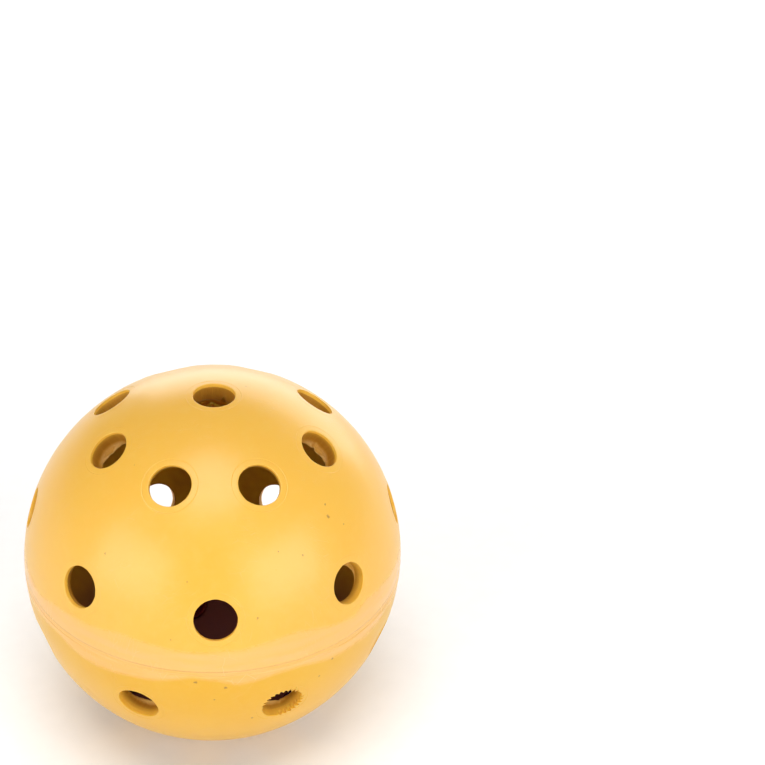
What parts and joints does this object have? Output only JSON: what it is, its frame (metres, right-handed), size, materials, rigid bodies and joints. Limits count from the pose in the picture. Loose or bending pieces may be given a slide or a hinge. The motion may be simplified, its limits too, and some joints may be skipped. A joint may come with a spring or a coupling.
{
  "type": "pickleball ball",
  "caption": "Hollow yellow-orange plastic ball with round drilled holes all over and a welded seam round its middle, for playing pickleball.",
  "frame": {"origin": "centre of the ball, on the axis through the two pole holes, in the plane of the weld", "axes": "+Z along the moulding axis, up through the pole hole of the upper half; -Y through a hole of the upper half's low ring"},
  "size_m": [0.0742, 0.0742, 0.0736],
  "materials": {
    "upper_half_shell": "satin, slightly translucent yellow-orange polyethylene with fine scuffs",
    "lower_half_shell": "satin, slightly translucent yellow-orange polyethylene with fine scuffs",
    "weld_seam": "fused and trimmed plastic, smoother and a little darker than the shells"
  },
  "bodies": {
    "root": {"upper_half_shell": "upper_half_shell", "lower_half_shell": "lower_half_shell", "weld_seam": "weld_seam"}
  },
  "joints": []
}
